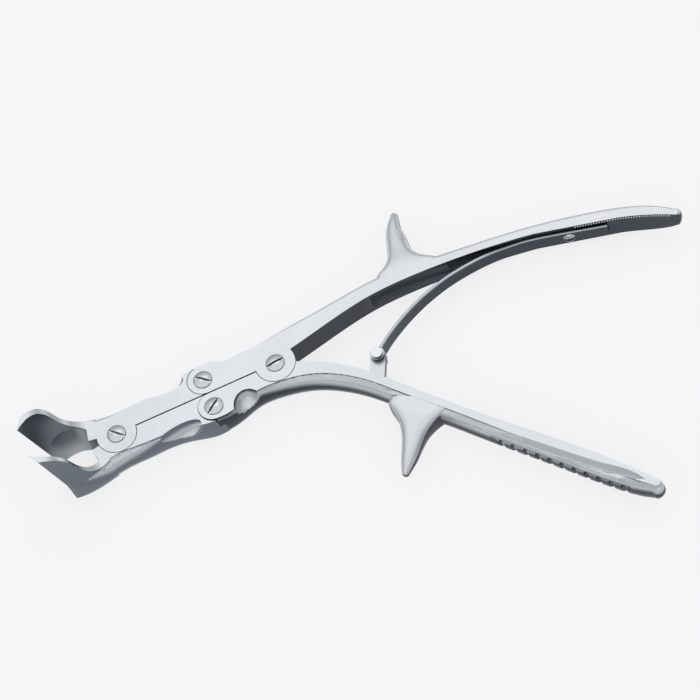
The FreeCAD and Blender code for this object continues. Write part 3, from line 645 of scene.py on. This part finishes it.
def smooth_sides(piece):
    """Shade the curved sides smoothly, and keep the real edges and the level faces flat."""
    mesh = piece.data
    mesh.shade_smooth()
    mesh.set_sharp_from_angle(angle=math.radians(SHARP_ANGLE))
    for face in mesh.polygons:
        if abs(face.normal.z) > LEVEL_FACE:
            face.use_smooth = False
    weights = piece.modifiers.new("even shading", "WEIGHTED_NORMAL")
    weights.keep_sharp = True
    applied(piece)


class FORCEPS_OT_levers(bpy.types.Operator):
    """Make the two jaws and the two handles, with spurs, notched grips and fine teeth"""
    bl_idname = "forceps.levers"
    bl_label = "Jaws and handles"

    def execute(self, context):
        finish = finish_settings()
        # The handles' and jaws' upright sides get their dark side colours as painted shade.
        material = steel("handle steel", finish.satin_colour, finish.flank_painted_shade,
                         finish.satin_roughness, finish.polish_roughness)
        jaw_material = steel("jaw steel", finish.satin_colour, finish.jaw_flank_painted_shade,
                             finish.satin_roughness, finish.polish_roughness)
        for node, body, grip, spur in LEVERS:
            piece = lever_copy(node + "_lever", node)
            if grip:
                round_end(piece, *GRIP_ENDS[node])
                add_spur(piece, spur)
                if node == "lower_handle":
                    cut_cove(piece, LOWER_COVE)
                cut_notches(piece, grip, finish)
            smooth_sides(piece)
            piece.data.materials.clear()
            piece.data.materials.append(material if grip else jaw_material)
            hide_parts(node)
            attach(piece, body)
        teeth = grown_mesh("grip_teeth", line_object("teeth_line", TEETH_ROW, JOINT_HEIGHT - TEETH_DROP),
                           make_teeth_tree(),
                           {"Step": TEETH_STEP * MM, "Radius": TEETH_RADIUS * MM, "Material": material})
        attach(teeth, "upper_handle")
        for name in SATIN_PIECES:
            dress(name, material)
        return {"FINISHED"}


def add_ring(shape, centre, inner, outer, low, high, count=40):
    """A flat ring round an upright axis, in millimetres."""
    loops = []
    for radius, height in ((inner, low), (outer, low), (outer, high), (inner, high)):
        loops.append([shape.verts.new(((centre[0] + radius * math.cos(2 * math.pi * step / count)) * MM,
                                       (centre[1] + radius * math.sin(2 * math.pi * step / count)) * MM,
                                       height * MM)) for step in range(count)])
    for low_loop, high_loop in zip(loops, loops[1:] + loops[:1]):
        for step in range(count):
            after = (step + 1) % count
            shape.faces.new((low_loop[step], low_loop[after], high_loop[after], high_loop[step]))


def add_knuckle(leaf):
    """Give the leaf its two rings round the pin, above and below the lug."""
    shape = bmesh.new()
    shape.from_mesh(leaf.data)
    for low, high in RING_CHEEKS:
        add_ring(shape, KNUCKLE, RING_INNER, RING_OUTER, low, high)
    bmesh.ops.recalc_face_normals(shape, faces=shape.faces)
    shape.to_mesh(leaf.data)
    shape.free()


class FORCEPS_OT_leaf(bpy.types.Operator):
    """Make the leaf spring"""
    bl_idname = "forceps.leaf"
    bl_label = "Leaf spring"

    def execute(self, context):
        finish = finish_settings()
        spring = spring_settings()
        # The leaf's upright faces get the dark side colour as painted shade.
        material = steel("spring steel", finish.spring_colour, finish.flank_painted_shade, 0.22, 0.2, grain=0.3)
        path = line_object("leaf_path", LEAF_LINE + (LEAF_TAIL_END,), JOINT_HEIGHT / 2)
        leaf = grown_mesh("leaf", path, make_strip_tree(),
                          {"Width": spring.width, "Thickness": spring.thickness,
                           "Edge radius": spring.edge_radius, "Material": material})
        add_knuckle(leaf)
        smooth_sides(leaf)
        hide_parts("leaf_spring")
        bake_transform(leaf)
        return {"FINISHED"}


# Stage.

def make_floor(stage):
    """A wide pale floor that keeps a soft shadow."""
    mesh = bpy.data.meshes.new("floor")
    shape = bmesh.new()
    bmesh.ops.create_grid(shape, x_segments=1, y_segments=1, size=3.0)
    for vertex in shape.verts:
        vertex.co.z = -0.0002
    shape.to_mesh(mesh)
    shape.free()
    floor = bpy.data.objects.new("floor", mesh)
    bpy.context.scene.collection.objects.link(floor)
    material = bpy.data.materials.new("pale floor")
    material.use_nodes = True
    tree = material.node_tree
    tree.nodes.remove(tree.nodes["Principled BSDF"])
    colour = (*stage.floor_colour, 1.0)
    matt = add_node(tree, "ShaderNodeBsdfDiffuse", {"Color": colour})
    glow = add_node(tree, "ShaderNodeEmission", {"Color": colour, "Strength": 1.1})
    ray = tree.nodes.new("ShaderNodeLightPath")
    seen = add_node(tree, "ShaderNodeMath",
                    {0: ray.outputs["Is Camera Ray"], 1: ray.outputs["Is Glossy Ray"]}, operation="MAXIMUM")
    shown = add_node(tree, "ShaderNodeMath",
                     {0: seen.outputs[0], 1: ray.outputs["Is Transmission Ray"]}, operation="MAXIMUM")
    share = add_node(tree, "ShaderNodeMath", {0: shown.outputs[0], 1: 0.78}, operation="MULTIPLY")
    both = add_node(tree, "ShaderNodeMixShader",
                    {0: share.outputs[0], 1: matt.outputs[0], 2: glow.outputs[0]})
    tree.links.new(both.outputs[0], tree.nodes["Material Output"].inputs["Surface"])
    mesh.materials.append(material)


def make_world():
    """A studio that is bright overhead and darker towards the horizon."""
    world = bpy.data.worlds.new("studio")
    bpy.context.scene.world = world
    world.use_nodes = True
    tree = world.node_tree
    back = tree.nodes["Background"]
    place = tree.nodes.new("ShaderNodeTexCoord").outputs["Generated"]
    parts = add_node(tree, "ShaderNodeSeparateXYZ", {0: place})
    ramp = tree.nodes.new("ShaderNodeValToRGB")
    tree.links.new(parts.outputs["Z"], ramp.inputs[0])
    ramp.color_ramp.elements[0].position = 0.05
    ramp.color_ramp.elements[0].color = (0.26, 0.275, 0.295, 1.0)
    ramp.color_ramp.elements[1].position = 0.9
    ramp.color_ramp.elements[1].color = (0.86, 0.875, 0.89, 1.0)
    middle = ramp.color_ramp.elements.new(0.5)
    middle.color = (0.62, 0.64, 0.67, 1.0)
    tree.links.new(ramp.outputs[0], back.inputs["Color"])
    back.inputs["Strength"].default_value = 1.0


def area_light(name, place, target, width, depth, power):
    """A rectangular soft light that faces its target."""
    data = bpy.data.lights.new(name, "AREA")
    data.shape = "RECTANGLE"
    data.size = width
    data.size_y = depth
    data.energy = power
    item = bpy.data.objects.new(name, data)
    item.location = place
    item.rotation_euler = (Vector(target) - Vector(place)).to_track_quat("-Z", "Y").to_euler()
    bpy.context.scene.collection.objects.link(item)


def make_camera(stage):
    """The camera at the photograph's angle."""
    sin_tilt, cos_tilt = math.sin(stage.tilt), math.cos(stage.tilt)
    sin_roll, cos_roll = math.sin(stage.roll), math.cos(stage.roll)
    right = Vector((cos_roll, -sin_roll * cos_tilt, -sin_roll * sin_tilt))
    up = Vector((sin_roll, cos_roll * cos_tilt, cos_roll * sin_tilt))
    toward = Vector((0.0, -sin_tilt, cos_tilt))
    centre = Vector((30.1, -8.9, JOINT_HEIGHT)) * MM
    distance = 2.0
    data = bpy.data.cameras.new("camera")
    data.sensor_width = 36.0
    data.lens = data.sensor_width * distance / stage.view_width
    camera = bpy.data.objects.new("camera", data)
    turn = Matrix((right, up, toward)).transposed().to_4x4()
    camera.matrix_world = Matrix.Translation(centre + toward * distance) @ turn
    bpy.context.scene.collection.objects.link(camera)
    bpy.context.scene.camera = camera


class FORCEPS_OT_stage(bpy.types.Operator):
    """Set up the pale floor, the soft light and the camera"""
    bl_idname = "forceps.stage"
    bl_label = "Stage"

    def execute(self, context):
        stage = stage_settings()
        make_camera(stage)
        make_floor(stage)
        make_world()
        area_light("key", (0.1, 0.9, 1.5), (0.03, 0.0, 0.0), 1.3, 0.9, stage.key_power)
        area_light("fill", (-0.5, -1.2, 0.7), (0.03, 0.0, 0.0), 1.0, 0.7, stage.fill_power)
        bpy.context.scene.view_settings.view_transform = "Standard"
        return {"FINISHED"}


class FORCEPS_PT_panel(bpy.types.Panel):
    """The steps of the forceps in the sidebar"""
    bl_idname = "FORCEPS_PT_panel"
    bl_label = "Forceps"
    bl_space_type = "VIEW_3D"
    bl_region_type = "UI"
    bl_category = "Forceps"

    def draw(self, context):
        for step in STEPS:
            self.layout.operator(step)


STEPS = ("forceps.stage", "forceps.levers", "forceps.screws", "forceps.leaf")
CLASSES = (ForcepsFinish, ForcepsSpring, ForcepsStage, FORCEPS_OT_levers, FORCEPS_OT_screws,
           FORCEPS_OT_leaf, FORCEPS_OT_stage, FORCEPS_PT_panel)


def register():
    for item in CLASSES:
        bpy.utils.register_class(item)
    bpy.types.Scene.forceps_finish = bpy.props.PointerProperty(type=ForcepsFinish)
    bpy.types.Scene.forceps_spring = bpy.props.PointerProperty(type=ForcepsSpring)
    bpy.types.Scene.forceps_stage = bpy.props.PointerProperty(type=ForcepsStage)


def unregister():
    del bpy.types.Scene.forceps_stage
    del bpy.types.Scene.forceps_spring
    del bpy.types.Scene.forceps_finish
    for item in reversed(CLASSES):
        bpy.utils.unregister_class(item)


def main():
    """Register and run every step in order."""
    register()
    bpy.ops.forceps.stage()
    bpy.ops.forceps.levers()
    bpy.ops.forceps.screws()
    bpy.ops.forceps.leaf()


if __name__ == "__main__":
    main()
